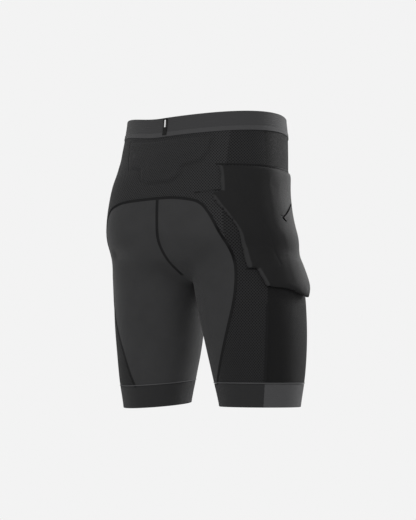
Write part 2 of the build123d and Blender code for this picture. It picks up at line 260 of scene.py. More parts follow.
# The weight is on the left leg, so the left hip is fuller at the back and its cheek makes a fold.
HIP_FULLNESS = ((-0.070, 0.0), (-0.090, 0.0045), (-0.110, 0.0095), (-0.135, 0.012),
                (-0.175, 0.0135), (-0.200, 0.012), (-0.225, 0.009), (-0.265, 0.0075),
                (-0.290, 0.003), (-0.330, 0.0))
HIP_FULL_TOWARDS, HIP_FULL_SPREAD = math.radians(46.0), math.radians(24.0)
CHEEK_FOLD_AT, CHEEK_FOLD_SLOPE = (0.085, -0.228), 0.16
CHEEK_FOLD_WIDTH, CHEEK_FOLD_DEPTH = 0.011, 0.0035
co, normals = places(worn.data), outward(worn.data)
z_rows, fuller = through(HIP_FULLNESS).T
off_angle = np.arctan2(co[:, 1], co[:, 0]) - HIP_FULL_TOWARDS
swell = np.interp(-co[:, 2], -z_rows, fuller) * np.exp(-(off_angle / HIP_FULL_SPREAD) ** 2)
from_fold = co[:, 2] - CHEEK_FOLD_AT[1] + CHEEK_FOLD_SLOPE * (co[:, 0] - CHEEK_FOLD_AT[0])
crease = np.exp(-(from_fold / CHEEK_FOLD_WIDTH) ** 2) * ease(co[:, 0], 0.020, 0.060)
crease *= 1.0 - ease(co[:, 0], 0.115, 0.135)
crease *= co[:, 1] > 0.05
put(worn.data, co + normals * (swell - CHEEK_FOLD_DEPTH * crease)[:, None])

# ---- Tailbone relief -------------------------------------------------------------------------
# The foam pad inside the small of the back presses its stepped outline through the yoke.
TAILBONE_HALF = ((0.088, -0.050), (0.083, -0.075), (0.074, -0.089),
                 (0.042, -0.096), (0.038, -0.114), (0.024, -0.122))
TAILBONE_RELIEF = 0.0034


def mirrored(half):
    """A half outline with its mirror image, as one closed outline."""
    return list(half) + [(-x, z) for x, z in reversed(half)]


def inside_by(spots, outline):
    """How deep flat spots lie inside a closed outline; negative outside it."""
    ends = np.array(outline, float)
    starts = np.roll(ends, 1, axis=0)
    nearest = np.full(len(spots), np.inf)
    inside = np.zeros(len(spots), bool)
    for (ax, ay), (bx, by) in zip(starts, ends):
        run = np.array([bx - ax, by - ay])
        off = spots - (ax, ay)
        share = np.clip(off @ run / max(run @ run, 1e-12), 0.0, 1.0)
        nearest = np.minimum(nearest, np.hypot(*(off - share[:, None] * run).T))
        crosses = (ay > spots[:, 1]) != (by > spots[:, 1])
        at = ax + (spots[:, 1] - ay) / ((by - ay) or 1e-12) * (bx - ax)
        inside ^= crosses & (spots[:, 0] < at)
    return np.where(inside, nearest, -nearest)


co, normals = places(worn.data), outward(worn.data)
deep = inside_by(co[:, [0, 2]], mirrored(TAILBONE_HALF))
steps = 0.8 * ease(deep, -0.0022, 0.0028) + 0.2 * ease(deep, 0.012, 0.018)
steps -= 0.3 * np.exp(-((deep + 0.0035) / 0.0025) ** 2)
put(worn.data, co + normals * (TAILBONE_RELIEF * steps * (co[:, 1] > 0))[:, None])
body_tree = BVHTree.FromPolygons([v.co.copy() for v in worn.data.vertices],
                                 [tuple(p.vertices) for p in worn.data.polygons])

# ---- Cloth panels ----------------------------------------------------------------------------
# Cut panels of warp-knit stretch cloth, sewn edge to edge: a mesh yoke, two smooth seat panels,
# two mesh side panels, two fine mesh fronts and a pouch. Each is cut from the worn shape's skin.
BAND_HEIGHT, BAND_DIP = 0.034, 0.008
CUFF_HEIGHT, PIPING_HEIGHT, EDGE_GAP = 0.039, 0.0018, 0.0004
CLOTH_THICKNESS = 0.0013
PANEL_END_Z = -SIDE_LENGTH + CUFF_HEIGHT + PIPING_HEIGHT + 2 * EDGE_GAP
ARCH_TOP_Z = -0.150
SEAT_SEAM = ((0.050, -0.151), (0.078, -0.155), (0.097, -0.161), (0.110, -0.175),
             (0.122, -0.197), (0.136, -0.232), (0.143, -0.262), (0.143, -0.295),
             (0.137, -0.330), (0.122, -0.375), (0.104, -0.420))
SEAT_SEAM_HEM_X = 0.085
CLOTH_TURN = 0.019       # the shorts sit turned: back seams and pads stand this far round to +X
SIDE_SEAM_AT, SIDE_SEAM_INNER_Y = (0.160, 0.026), -0.080
SIDE_SEAM_TOP_Z = -0.330
UNDER_BAND, INTO_CUFF = 0.0035, 0.0022
YOKE_EDGE = ((-0.030, 0.132), (-0.150, 0.133), (-0.200, 0.134), (-0.232, 0.136), (-0.236, 0.060))
POUCH_EDGE = ((-0.030, 0.052), (-0.150, 0.046), (-0.225, 0.034), (-0.300, 0.006), (-0.310, 0.0))
SIDES = {"left": 1, "right": -1}
LEG_MIDDLE, LEG_RADIUS = (0.095, 0.0), 0.085     # the upright line that leg cloth wraps round


def band_low_z(x):
    """Height of the waistband's lower edge, which dips at the middle."""
    return -BAND_HEIGHT - BAND_DIP * (1.0 - (2.0 * x / WAIST_WIDTH) ** 2)


def seat_seam_line(side):
    """The seat seam of one side, from the middle of the arch to the cuff, seen from behind."""
    half = SEAT_SEAM + ((SEAT_SEAM_HEM_X, PANEL_END_Z - 0.004),)
    line = [(0.0, ARCH_TOP_Z)] + [(side * x + CLOTH_TURN, z) for x, z in half]
    return through(line, 8)


def seat_field(co):
    line = [(x, z) for x, z in seat_seam_line(1)] + [(0.10, -0.6), (-0.10, -0.6)]
    line += [(x, z) for x, z in seat_seam_line(-1)[:0:-1]]
    return inside_by(co[:, [0, 2]], line)


def side_seam(flip):
    """Where one leg's side seam cuts the hip, seen from above, and the direction of its cut."""
    y = SIDE_SEAM_AT[1] - flip * CLOTH_TURN
    turn = math.atan2(y - SIDE_SEAM_INNER_Y, SIDE_SEAM_AT[0])
    along = Vector((flip * math.cos(turn), math.sin(turn), 0.0))
    return Vector((flip * SIDE_SEAM_AT[0], y, 0.0)), along


def front_field(co):
    """Distance in front of the side seams, which cut each leg at an angle."""
    ahead = []
    for flip in (1, -1):
        (x, y, _), (along_x, along_y, _) = side_seam(flip)
        ahead.append((co[:, 0] - x) * along_y * flip - (co[:, 1] - y) * along_x * flip)
    return np.where(co[:, 0] > 0.0, *ahead)


def edge_field(edge, middle=0.0):
    """A field that is positive outside a pair of mirrored edges given as (z, x)."""
    line = np.array(edge)
    return lambda co: np.abs(co[:, 0] - middle) - np.interp(-co[:, 2], -line[:, 0], line[:, 1])


def cut(cloth, field):
    """Cut a cloth along the line where field is zero; gives the parts below and above zero."""
    bmesh.ops.triangulate(cloth, faces=[f for f in cloth.faces if len(f.verts) > 3])
    level = dict(zip(cloth.verts, field(np.array([v.co[:] for v in cloth.verts]))))
    for edge in cloth.edges:
        a, b = edge.verts
        if level[a] * level[b] < 0.0:
            share = level[a] / (level[a] - level[b])
            near = a if share < 0.22 else b if share > 0.78 else None
            if near:
                near.co = a.co.lerp(b.co, share)
                level[near] = 0.0
    for edge in list(cloth.edges):
        a, b = edge.verts
        if level[a] * level[b] < 0.0:
            new = bmesh.utils.edge_split(edge, a, level[a] / (level[a] - level[b]))[1]
            level[new] = 0.0
    for face in list(cloth.faces):
        values = [level[v] for v in face.verts]
        if min(values) < 0.0 < max(values):
            on_line = [v for v in face.verts if level[v] == 0.0]
            bmesh.utils.face_split(face, on_line[0], on_line[1])
    return take(cloth, [sum(level[v] for v in f.verts) < 0.0 for f in cloth.faces])


def take(cloth, first):
    """The faces marked first, and the others, as two cloths."""
    parts = []
    for wanted in (True, False):
        part = cloth.copy()
        part.faces.ensure_lookup_table()
        drop = [part.faces[i] for i, mark in enumerate(first) if mark != wanted]
        bmesh.ops.delete(part, geom=drop, context="FACES")
        parts.append(part)
    return parts


def by_side(cloth):
    """A cloth's faces on the wearer's left and right."""
    return dict(zip(("left", "right"),
                    take(cloth, [f.calc_center_median().x > 0.0 for f in cloth.faces])))


skin = bmesh.new()
skin.from_mesh(worn.data)
skin = cut(skin, lambda co: co[:, 2] - band_low_z(co[:, 0]) - UNDER_BAND)[0]
skin = cut(skin, lambda co: co[:, 2] - PANEL_END_Z + INTO_CUFF)[1]
back, front = cut(skin, front_field)
back_rest, seat = cut(back, seat_field)
yoke, side_rest = cut(back_rest, edge_field(YOKE_EDGE, CLOTH_TURN))
pouch, front_rest = cut(front, edge_field(POUCH_EDGE))
seats = dict(zip(("right", "left"), cut(seat, lambda co: co[:, 0])))
fronts, side_panels = by_side(front_rest), by_side(side_rest)


def lay_flat(mesh, middle, radius, side=1, whole_turn=False):
    """A UV map in metres for cloth wrapped round an upright line: arc along u, height along v."""
    co = places(mesh)
    angle = np.arctan2(co[:, 1] - middle[1], side * co[:, 0] - middle[0])
    if whole_turn:
        angle = angle % (2 * np.pi)
    uv = np.stack([angle * radius, co[:, 2]], -1)
    corners = np.empty(len(mesh.loops), np.int64)
    mesh.loops.foreach_get("vertex_index", corners)
    layer = mesh.uv_layers.new(name="cloth")
    layer.data.foreach_set("uv", uv[corners].reshape(-1))


BAND_RISE = 0.011        # how much higher the waistband rides at its left end
HEM_TIP = 0.10           # slope of the left hem, and its fall at the leg's middle
HEM_MIDDLE, HEM_FALL = (0.111, -0.011), 0.001


def settle(mesh):
    """Move a piece as the worn shorts sit, not quite square: the waistband rides up at the left
    and the left hem drops at the back of the leg and rises on its inner side."""
    co = places(mesh)
    x, y, z = co.T
    rise = BAND_RISE * ease(x, 0.010, 0.125) * ease(z, -0.110, -0.040) * ease(y, -0.09, 0.03)
    tip = -HEM_TIP * (0.5 * (x - HEM_MIDDLE[0]) + 0.8 * (y - HEM_MIDDLE[1])) - HEM_FALL
    low = ease(-z, 0.400, 0.455) * (x > 0.0)
    co[:, 2] += rise + tip * low
    put(mesh, co)


def finish_piece(piece, material, nodes, body=None, side=None):
    """Settle a piece, give it its material, smooth its shading, hide the parts of the nodes it
    stands for, and fix it to a body; a piece with a side is baked in place instead.
    """
    settle(piece.data)
    piece.data.materials.clear()
    piece.data.materials.append(material)
    select_only(piece)
    bpy.ops.object.shade_smooth_by_angle(angle=math.radians(60.0))
    if nodes:
        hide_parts(*nodes)
    if side is None:
        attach(piece, body)
    else:
        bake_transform(piece)


def cloth_piece(name, cloth, middle, radius, flip=1, whole_turn=False):
    """A sewn panel as an object of the cloth's thickness, its outside on the worn shape."""
    mesh = bpy.data.meshes.new(name)
    cloth.to_mesh(mesh)
    piece = link(name, mesh)
    lay_flat(mesh, middle, radius, flip, whole_turn)
    apply_modifier(piece, "SOLIDIFY", thickness=CLOTH_THICKNESS, offset=-1.0,
                   use_even_offset=False, use_quality_normals=True)
    return piece


class Finish:
    """A material's nodes, joined one after another on a Principled shader."""

    def __init__(self, name, colour, rough, sheen=0.0, specular=0.08):
        self.material = bpy.data.materials.new(name)
        self.material.use_nodes = True
        self.tree = self.material.node_tree
        self.shader = self.tree.nodes["Principled BSDF"]
        self.shader.inputs["Base Color"].default_value = (*colour, 1.0)
        self.shader.inputs["Roughness"].default_value = rough
        self.shader.inputs["Sheen Weight"].default_value = sheen
        self.shader.inputs["Sheen Roughness"].default_value = 0.4
        self.shader.inputs["Specular IOR Level"].default_value = specular
        self.colour = colour
        self.rough = rough

    def node(self, kind, **settings):
        node = self.tree.nodes.new(kind)
        for key, value in settings.items():
            setattr(node, key, value)
        return node

    def join(self, output, target):
        self.tree.links.new(output, target)

    def math(self, operation, first, second=None, clamp=False):
        node = self.node("ShaderNodeMath", operation=operation, use_clamp=clamp)
        for socket, value in zip(node.inputs, (first, second)):
            if hasattr(value, "links"):
                self.join(value, socket)
            elif value is not None:
                socket.default_value = value
        return node.outputs[0]

    def cloth_uv(self, turn=0.0):
        """The u and v of the cloth, in millimetres."""
        uv = self.node("ShaderNodeUVMap", uv_map="cloth")
        mapping = self.node("ShaderNodeMapping")
        mapping.inputs["Scale"].default_value = (1000.0, 1000.0, 1.0)
        mapping.inputs["Rotation"].default_value = (0.0, 0.0, turn)
        self.join(uv.outputs[0], mapping.inputs["Vector"])
        parts = self.node("ShaderNodeSeparateXYZ")
        self.join(mapping.outputs[0], parts.inputs[0])
        return parts.outputs[0], parts.outputs[1]

    def wave(self, place, pitch):
        """Rises from 0 to 1 and falls again once in every pitch."""
        half = self.math("PINGPONG", self.math("DIVIDE", place, pitch), 0.5)
        return self.math("MULTIPLY", half, 2.0)

    def noise(self, scale, detail=3.0):
        """Noise on the piece's own place, about 0.5, with features of 1/scale metres."""
        place = self.node("ShaderNodeTexCoord")
        noise = self.node("ShaderNodeTexNoise")
        noise.inputs["Scale"].default_value = scale
        noise.inputs["Detail"].default_value = detail
        self.join(place.outputs["Object"], noise.inputs["Vector"])
        return noise.outputs["Fac"]

    def shade(self, factor, dark, light):
        """Multiply the colour by dark where factor is 0 and by light where it is 1."""
        ramp = self.node("ShaderNodeMix", data_type="RGBA", clamp_factor=False)
        ramp.inputs[6].default_value = (*[c * dark for c in self.colour], 1.0)
        ramp.inputs[7].default_value = (*[c * light for c in self.colour], 1.0)
        self.join(factor, ramp.inputs[0])
        self.join(ramp.outputs[2], self.shader.inputs["Base Color"])

    def roughen(self, factor, spread):
        change = self.math("MULTIPLY", self.math("SUBTRACT", factor, 0.5), spread)
        self.join(self.math("ADD", change, self.rough, clamp=True), self.shader.inputs["Roughness"])

    def bump(self, height, depth):
        """Raise the surface by depth metres where height is 1."""
        bump = self.node("ShaderNodeBump")
        bump.inputs["Distance"].default_value = depth
        self.join(height, bump.inputs["Height"])
        self.join(bump.outputs[0], self.shader.inputs["Normal"])


def diamond_mesh(name, colour, wide, high, rough=0.75, sheen=0.03):
    """Open mesh knit: a net of crossing yarns round small dark diamond holes."""
    finish = Finish(name, colour, rough, sheen)
    u, v = finish.cloth_uv()
    along = finish.math("DIVIDE", u, wide)
    up = finish.math("DIVIDE", v, high)
    one = finish.wave(finish.math("ADD", along, up), 1.0)
    other = finish.wave(finish.math("SUBTRACT", along, up), 1.0)
    yarn = finish.math("POWER", finish.math("MAXIMUM", one, other), 1.6)
    fuzz = finish.noise(1400.0, 2.0)
    tone = finish.math("MULTIPLY", yarn, finish.math("ADD", fuzz, 0.5))
    finish.shade(tone, 0.05, 2.0)
    finish.roughen(fuzz, 0.2)
    finish.bump(tone, 0.0006)
    return finish.material


def smooth_knit(name, colour, pitch=0.9, rough=0.62, sheen=0.05, rim=None):
    """Smooth brushed tricot: fine slanted loops and a slightly uneven dye. With rim, the parts
    marked by the rim attribute are lighter by that factor: a painted highlight where light catches
    the pad cover's back edge."""
    finish = Finish(name, colour, rough, sheen)
    u, v = finish.cloth_uv()
    lean = finish.wave(finish.math("ADD", v, finish.wave(u, pitch)), pitch * 0.8)
    rows = finish.wave(u, pitch)
    loops = finish.math("MULTIPLY", lean, rows)
    cloud = finish.noise(35.0, 4.0)
    grit = finish.noise(2200.0, 2.0)
    tone = finish.math("ADD", finish.math("MULTIPLY", cloud, 0.6),
                       finish.math("MULTIPLY", grit, 0.4))
    # The rim attribute lightens the colour here: a painted highlight, not a tone of the cloth.
    if rim:
        mark = finish.node("ShaderNodeAttribute", attribute_name="rim")
        tone = finish.math("ADD", tone, finish.math("MULTIPLY", mark.outputs["Fac"], rim))
    finish.shade(tone, 0.72, 1.28)
    finish.roughen(cloud, 0.12)
    finish.bump(finish.math("ADD", loops, grit), 0.00012)
    return finish.material


# The side panels are the same mesh knit as the yoke; their darker colour is painted shade for the
# side of the hip.
yoke_mesh = diamond_mesh("yoke_mesh_knit", (0.0152, 0.0152, 0.0157), 4.8, 5.2)
shaded_side_mesh = diamond_mesh("shaded_side_knit", (0.0104, 0.0104, 0.0108), 4.8, 5.2)
front_mesh = diamond_mesh("front_mesh_knit", (0.0060, 0.0060, 0.0062), 2.2, 2.4)
seat_cloth = smooth_knit("seat_tricot", (0.0250, 0.0250, 0.0257))
pouch_cloth = smooth_knit("pouch_tricot", (0.0180, 0.0180, 0.0186))

piece = cloth_piece("yoke_cloth", yoke, (0.0, 0.0), 0.150)
finish_piece(piece, yoke_mesh, ["back_yoke"], body="pelvis")

piece = cloth_piece("pouch_panel", pouch, (0.0, 0.0), 0.120)
finish_piece(piece, pouch_cloth, ["front_pouch"], body="pelvis")

for side, flip in SIDES.items():
    piece = cloth_piece(f"seat_cloth_{side}", seats[side], LEG_MIDDLE, LEG_RADIUS, flip,
                        whole_turn=True)
    finish_piece(piece, seat_cloth, [f"seat_panel_{side}"], side=side)

    # The side panels take the darker copy of the yoke knit: painted shade.
    piece = cloth_piece(f"side_cloth_{side}", side_panels[side], LEG_MIDDLE, LEG_RADIUS, flip)
    finish_piece(piece, shaded_side_mesh, [f"side_panel_{side}"], side=side)

    piece = cloth_piece(f"front_cloth_{side}", fronts[side], LEG_MIDDLE, LEG_RADIUS, flip)
    finish_piece(piece, front_mesh, [f"front_panel_{side}"], side=side)

# ---- Hip pads --------------------------------------------------------------------------------
# Soft impact foam, moulded with stepped edges and bending grooves, under a bonded stretch cover
# on the outside of each hip, with a thin lining behind it on the inside of the cloth.
PAD_OUTLINE = ((-0.068, -0.098), (0.085, -0.098), (0.088, -0.142), (0.098, -0.147),
               (0.092, -0.167), (0.074, -0.208), (0.062, -0.240), (0.055, -0.271),
               (0.046, -0.271), (0.033, -0.301), (-0.002, -0.305), (-0.050, -0.317),
               (-0.068, -0.296), (-0.076, -0.250), (-0.074, -0.170))
PAD_INNER_X = 0.100
PAD_TOP = 0.0038           # height of the cover over the cloth
PAD_LOWER_PROUD = 0.0072     # the lower front corner stands this much further off the thigh
PAD_LIP_GAP = 0.0045         # and its edge is free of the cloth, with this gap behind it
PAD_EDGE = 0.009
PAD_CAP = 0.0008
PAD_GRAIN = 0.0026
SLIT_WIDTH, SLIT_FLOOR = 0.0036, 0.0008
FLEX_SLITS = (((0.006, -0.183), (-0.008, -0.174), (-0.028, -0.160), (-0.042, -0.154)),
              ((0.010, -0.181), (-0.002, -0.190)))
PAD_CONTOURS = (((0.072, -0.118), (0.066, -0.165), (0.040, -0.205), (0.016, -0.262)),
                ((0.056, -0.222), (0.028, -0.236)))


def patch(field):
    """The part of the worn skin where a field is positive, as a cloth."""
    whole = bmesh.new()
    whole.from_mesh(worn.data)
    return cut(whole, field)[1]


def beside(co, flip):
    """Places seen from the side, in the pad outline's own frame."""
    return co[:, 1:] + (flip * CLOTH_TURN, 0.0)


def hip_field(flip, inset=0.0):
    def field(co):
        deep = inside_by(beside(co, flip), PAD_OUTLINE) - inset
        return np.minimum(deep, flip * co[:, 0] - PAD_INNER_X)
    return field


def slab(name, cloth, low, high):
    """A closed piece between two heights over the worn skin; each is a number or a function."""
    mesh = bpy.data.meshes.new(name)
    cloth.to_mesh(mesh)
    co, normals = places(mesh), outward(mesh)
    floor = low(co) if callable(low) else np.full(len(co), low)
    roof = high(co) if callable(high) else np.full(len(co), high)
    count = len(co)
    borders = [e for e in cloth.edges if len(e.link_faces) == 1]
    cloth.verts.index_update()
    faces = [tuple(p.vertices) for p in mesh.polygons]
    under = [tuple(i + count for i in reversed(face)) for face in faces]
    walls = []
    for edge in borders:
        loop = edge.link_loops[0]
        a, b = loop.vert.index, loop.link_loop_next.vert.index
        walls.append((b, a, a + count, b + count))
    points = np.vstack([co + normals * roof[:, None], co + normals * floor[:, None]])
    closed = bpy.data.meshes.new(name)
    closed.from_pydata(points.tolist(), [], faces + under + walls)
    bpy.data.meshes.remove(mesh)
    return link(name, closed)


def puff(piece, pressure, most, grain=0.004):
    """Blow up a closed piece as padded cloth, and keep each point within most of its place."""
    apply_modifier(piece, "REMESH", mode="VOXEL", voxel_size=grain)
    rest = places(piece.data)
    select_only(piece)
    cloth = piece.modifiers.new("cloth", "CLOTH")
    cloth.settings.use_pressure = True
    cloth.settings.uniform_pressure_force = pressure
    cloth.settings.effector_weights.gravity = 0.0
    cloth.settings.tension_stiffness = 30.0
    cloth.settings.compression_stiffness = 30.0
    cloth.settings.bending_stiffness = 1.5
    for step in range(1, 21):
        bpy.context.scene.frame_set(step)
    shown = piece.evaluated_get(bpy.context.evaluated_depsgraph_get())
    blown = places(shown.data)
    piece.modifiers.remove(cloth)
    moved = blown - rest
    far = np.linalg.norm(moved, axis=1, keepdims=True)
    put(piece.data, rest + moved * np.minimum(1.0, most / np.maximum(far, 1e-9)))
    bpy.context.scene.frame_set(1)
    apply_modifier(piece, "SUBSURF", levels=1, render_levels=1)


PAD_INNER_FIELD = ((-0.060, -0.106), (0.026, -0.106), (0.027, -0.195), (0.001, -0.226),
                   (-0.007, -0.292), (-0.042, -0.306), (-0.062, -0.255), (-0.066, -0.170))


def pad_height(co):
    """Height of the hip pad's cover over the cloth: thin at the back edge, thicker in the inner
    field and towards the lower edge, which stands proud of the thigh."""
    flat = beside(co, 1.0 if co[0, 0] > 0.0 else -1.0)
    deep = np.clip(inside_by(flat, PAD_OUTLINE) / PAD_EDGE, 0.0, 1.0)
    lower = ease(-flat[:, 1], 0.165, 0.262) * (0.25 + 0.75 * ease(-flat[:, 0], -0.060, 0.040))
    wall = 0.40 + 0.50 * lower
    crown = wall + (1.0 - wall) * np.sqrt(deep * (2.0 - deep))
    inner = ease(inside_by(flat, PAD_INNER_FIELD), -0.003, 0.003)
    return (PAD_TOP + PAD_LOWER_PROUD * lower) * crown + 0.0004 * inner


def pad_lip(co):
    """Depth of the gap behind the pad's free lower edge."""
    flat = beside(co, 1.0 if co[0, 0] > 0.0 else -1.0)
    near = 1.0 - ease(inside_by(flat, PAD_OUTLINE), 0.003, 0.013)
    foot = ease(-flat[:, 1], 0.268, 0.286) * ease(-flat[:, 0], -0.045, 0.005)
    return 0.0002 + PAD_LIP_GAP * near * foot


def paint_rim_highlight(piece, flip):
    """Mark where the cover's edge faces backwards, as the rim attribute: a painted highlight for
    the light that catches that edge.
    """
    co = places(piece.data)
    deep = inside_by(beside(co, flip), PAD_OUTLINE)
    ahead = inside_by(beside(co, flip) - (0.002, 0.0), PAD_OUTLINE)
    lit_back_edge = ease(ahead - deep, 0.0008, 0.0016)
    rim = (1.0 - ease(deep, 0.0004, 0.0014)) * lit_back_edge
    piece.data.attributes.new("rim", "FLOAT", "POINT").data.foreach_set("value", rim)


def slit_cutter(flip, line, width, floor):
    """A closed solid along a line seen from the side, whose inner face is floor over the skin."""
    flat = np.array(line) - (flip * CLOTH_TURN, 0.0)
    run = np.gradient(flat, axis=0)
    run /= np.linalg.norm(run, axis=1, keepdims=True)
    beside_it = np.stack([-run[:, 1], run[:, 0]], -1) * width / 2
    rim = np.vstack([flat + beside_it, (flat - beside_it)[::-1]])
    inner, _ = on_skin([(flip * 0.4, y, z) for y, z in rim], [(-flip, 0.0, 0.0)] * len(rim))
    rings = np.array([inner + (flip * floor, 0.0, 0.0), inner + (flip * 0.04, 0.0, 0.0)])
    points, faces = closed_tube(rings)
    mesh = bpy.data.meshes.new("slit")
    mesh.from_pydata(points, [], faces)
    cutter = link("slit", mesh)
    select_only(cutter)
    bpy.ops.object.mode_set(mode="EDIT")
    bpy.ops.mesh.select_all(action="SELECT")
    bpy.ops.mesh.normals_make_consistent(inside=False)
    bpy.ops.object.mode_set(mode="OBJECT")
    return cutter


def on_skin(starts, ways):
    """Where rays from outside first meet the worn skin, with the skin's normals there."""
    found = [body_tree.ray_cast(Vector(s), Vector(w)) for s, w in zip(starts, ways)]
    found = [hit for hit in found if hit[0] is not None]
    return np.array([hit[0] for hit in found]), np.array([hit[1] for hit in found])


def press_lines(piece, flip, lines, width, depth):
    """Press narrow channels into the outside of a pad, along lines seen from the side."""
    co, normals = places(piece.data), outward(piece.data)
    flat = beside(co, flip)
    shares = np.zeros(len(co))
    for line in lines:
        for start, end in zip(line, line[1:]):
            start, run = np.array(start), np.subtract(end, start)
            off = flat - start
            share = np.clip(off @ run / (run @ run), 0.0, 1.0)
            gap = np.hypot(*(off - share[:, None] * run).T)
            shares = np.maximum(shares, np.exp(-(gap / width) ** 2))
    facing = ease(normals[:, 0] * flip, 0.0, 0.4)
    put(piece.data, co - normals * (depth * shares * facing)[:, None])


# The rim factor paints a highlight along the pad cover's back-facing edge, where the light catches
# it.
cover_cloth = smooth_knit("pad_cover_jersey", (0.0082, 0.0082, 0.0084), 0.7, 0.65, 0.02,
                          rim=2.6)
lining_cloth = smooth_knit("brushed_lining", (0.035, 0.035, 0.038), 1.2, 0.8, 0.3)


def impact_foam(name, colour):
    """Slow-recovery foam with a fine closed skin and small pores."""
    finish = Finish(name, colour, 0.7, 0.0, 0.35)
    pores = finish.noise(900.0, 4.0)
    cloud = finish.noise(60.0, 3.0)
    finish.shade(cloud, 0.8, 1.2)
    finish.roughen(pores, 0.25)
    finish.bump(pores, 0.0003)
    return finish.material


foam = impact_foam("impact_foam", (0.006, 0.006, 0.006))


def foam_height(co):
    """The foam's own top, with two grooves across it that let it bend."""
    flat = beside(co, 1.0 if co[0, 0] > 0.0 else -1.0)
    deep = inside_by(flat, PAD_OUTLINE) - 0.0025
    edge = ease(deep, 0.0, 0.006)
    groove = sum(np.exp(-((co[:, 2] - z) / 0.0022) ** 2) for z in (-0.160, -0.225))
    return 0.0010 + 0.0012 * edge - 0.0008 * groove * edge


for side, flip in SIDES.items():
    cover = slab(f"hip_pad_cover_{side}", patch(hip_field(flip)), pad_lip, pad_height)
    puff(cover, 4.0, PAD_CAP, PAD_GRAIN)
    press_lines(cover, flip, PAD_CONTOURS, 0.0022, 0.0004)
    for slit in FLEX_SLITS:
        cutter = slit_cutter(flip, slit, SLIT_WIDTH, SLIT_FLOOR)
        apply_modifier(cover, "BOOLEAN", operation="DIFFERENCE", object=cutter, solver="EXACT")
        bpy.data.objects.remove(cutter)
    # Painted highlight: the cover's back-facing edge is marked to be lighter in colour.
    paint_rim_highlight(cover, flip)
    lay_flat(cover.data, LEG_MIDDLE, LEG_RADIUS, flip)
    finish_piece(cover, cover_cloth, [f"hip_cover_{side}"], side=side)

    core = slab(f"hip_pad_foam_{side}", patch(hip_field(flip, 0.004)), 0.0008, foam_height)
    finish_piece(core, foam, [f"hip_pad_{side}"], side=side)

    behind = slab(f"hip_pad_lining_{side}", patch(hip_field(flip, 0.0025)),
                  -CLOTH_THICKNESS - 0.0012, -CLOTH_THICKNESS - 0.0003)
    lay_flat(behind.data, LEG_MIDDLE, LEG_RADIUS, flip)
    finish_piece(behind, lining_cloth, [f"hip_backing_{side}"], side=side)

# ---- Tailbone pad ----------------------------------------------------------------------------
# A smaller foam pad in a sewn pocket on the inside of the yoke, over the tailbone.
def tailbone_field(inset):
    def field(co):
        deep = inside_by(co[:, [0, 2]], mirrored(TAILBONE_HALF)) - inset
        return np.minimum(deep, co[:, 1] - 0.05)
    return field


def tailbone_depth(share):
    def depth(co):
        deep = inside_by(co[:, [0, 2]], mirrored(TAILBONE_HALF))
        return -0.0020 - share * ease(deep, -0.0025, 0.006)
    return depth


core = slab("tailbone_pad_foam", patch(tailbone_field(0.0)), tailbone_depth(0.0045), -0.0017)
finish_piece(core, foam, ["tailbone_pad"], body="pelvis")
pocket = slab("tailbone_pad_pocket", patch(tailbone_field(-0.0025)), tailbone_depth(0.0056),
              -0.0015)
puff(pocket, 3.0, 0.0010, 0.0035)
lay_flat(pocket.data, (0.0, 0.0), 0.120)
finish_piece(pocket, lining_cloth, ["tailbone_pocket"], body="pelvis")

# ---- Sewn seams ------------------------------------------------------------------------------
# Flat overlocked seams: two rows of thread with short cross threads between them, standing a
# little above the cloth. The centre back has two plain rows of needle stitches.
SEAM_HEIGHT = 0.0008


def evenly(line, step):
    """Points spaced evenly along a line."""
    gone = np.concatenate([[0.0], np.cumsum(np.linalg.norm(np.diff(line, axis=0), axis=1))])
    at = np.linspace(0.0, gone[-1], max(2, int(gone[-1] / step)))
    return np.stack([np.interp(at, gone, line[:, i]) for i in range(line.shape[1])], -1), at


def soften(values, rounds=12):
    for _ in range(rounds):
        values[1:-1] = 0.25 * values[:-2] + 0.5 * values[1:-1] + 0.25 * values[2:]
    return values


def seam_ribbon(name, line, normals, width, rows=True, step=0.0006):
    """A stitched ribbon along a line on the skin, with real ridges of thread."""
    both = soften(np.hstack([line, normals]), 10)
    both, at = evenly(both, step)
    line, normals = soften(both[:, :3], 20), both[:, 3:]
    normals = normals / np.linalg.norm(normals, axis=1, keepdims=True)
    along = np.gradient(line, axis=0)
    along /= np.linalg.norm(along, axis=1, keepdims=True)
    across = np.cross(normals, along)
    shares = np.array([-1.0, -0.96, -0.86, -0.74, -0.62, -0.48, -0.3, -0.1,
                       0.1, 0.3, 0.48, 0.62, 0.74, 0.86, 0.96, 1.0])
    thread = np.exp(-((np.abs(shares) - 0.74) / 0.13) ** 2)
    body = np.where(np.abs(shares) > 0.9, -0.25, 0.45)
    rungs = 0.5 + 0.5 * np.cos(2 * np.pi * at / 0.0024)
    height = body[None, :] + 0.45 * thread[None, :] * (0.55 + 0.45 * rungs[:, None])
    if rows:
        height += 0.16 * rungs[:, None] * (np.abs(shares) < 0.7)[None, :]
    points = (line[:, None] + across[:, None] * shares[None, :, None] * width / 2
              + normals[:, None] * height[:, :, None] * SEAM_HEIGHT)
    count, wide = points.shape[:2]
    base = line[:, None] + across[:, None] * shares[None, [0, -1], None] * width / 2 * 0.9 \
        - normals[:, None] * SEAM_HEIGHT * 0.6
    ring = np.concatenate([points, base[:, ::-1]], axis=1)
    ring_points, faces = closed_tube(ring)
    mesh = bpy.data.meshes.new(name)
    mesh.from_pydata(ring_points, [], faces)
    bm = bmesh.new()
    bm.from_mesh(mesh)
    bmesh.ops.recalc_face_normals(bm, faces=bm.faces)
    bm.to_mesh(mesh)
    bm.free()
    return link(name, mesh)


def thread_finish(name, colour):
    """Twisted filament thread, a little glossier than the cloth."""
    finish = Finish(name, colour, 0.6, 0.02)
    twist = finish.noise(3000.0, 2.0)
    finish.shade(twist, 0.6, 1.5)
    finish.bump(twist, 0.0001)
    return finish.material


thread = thread_finish("seam_thread", (0.0055, 0.0055, 0.0058))


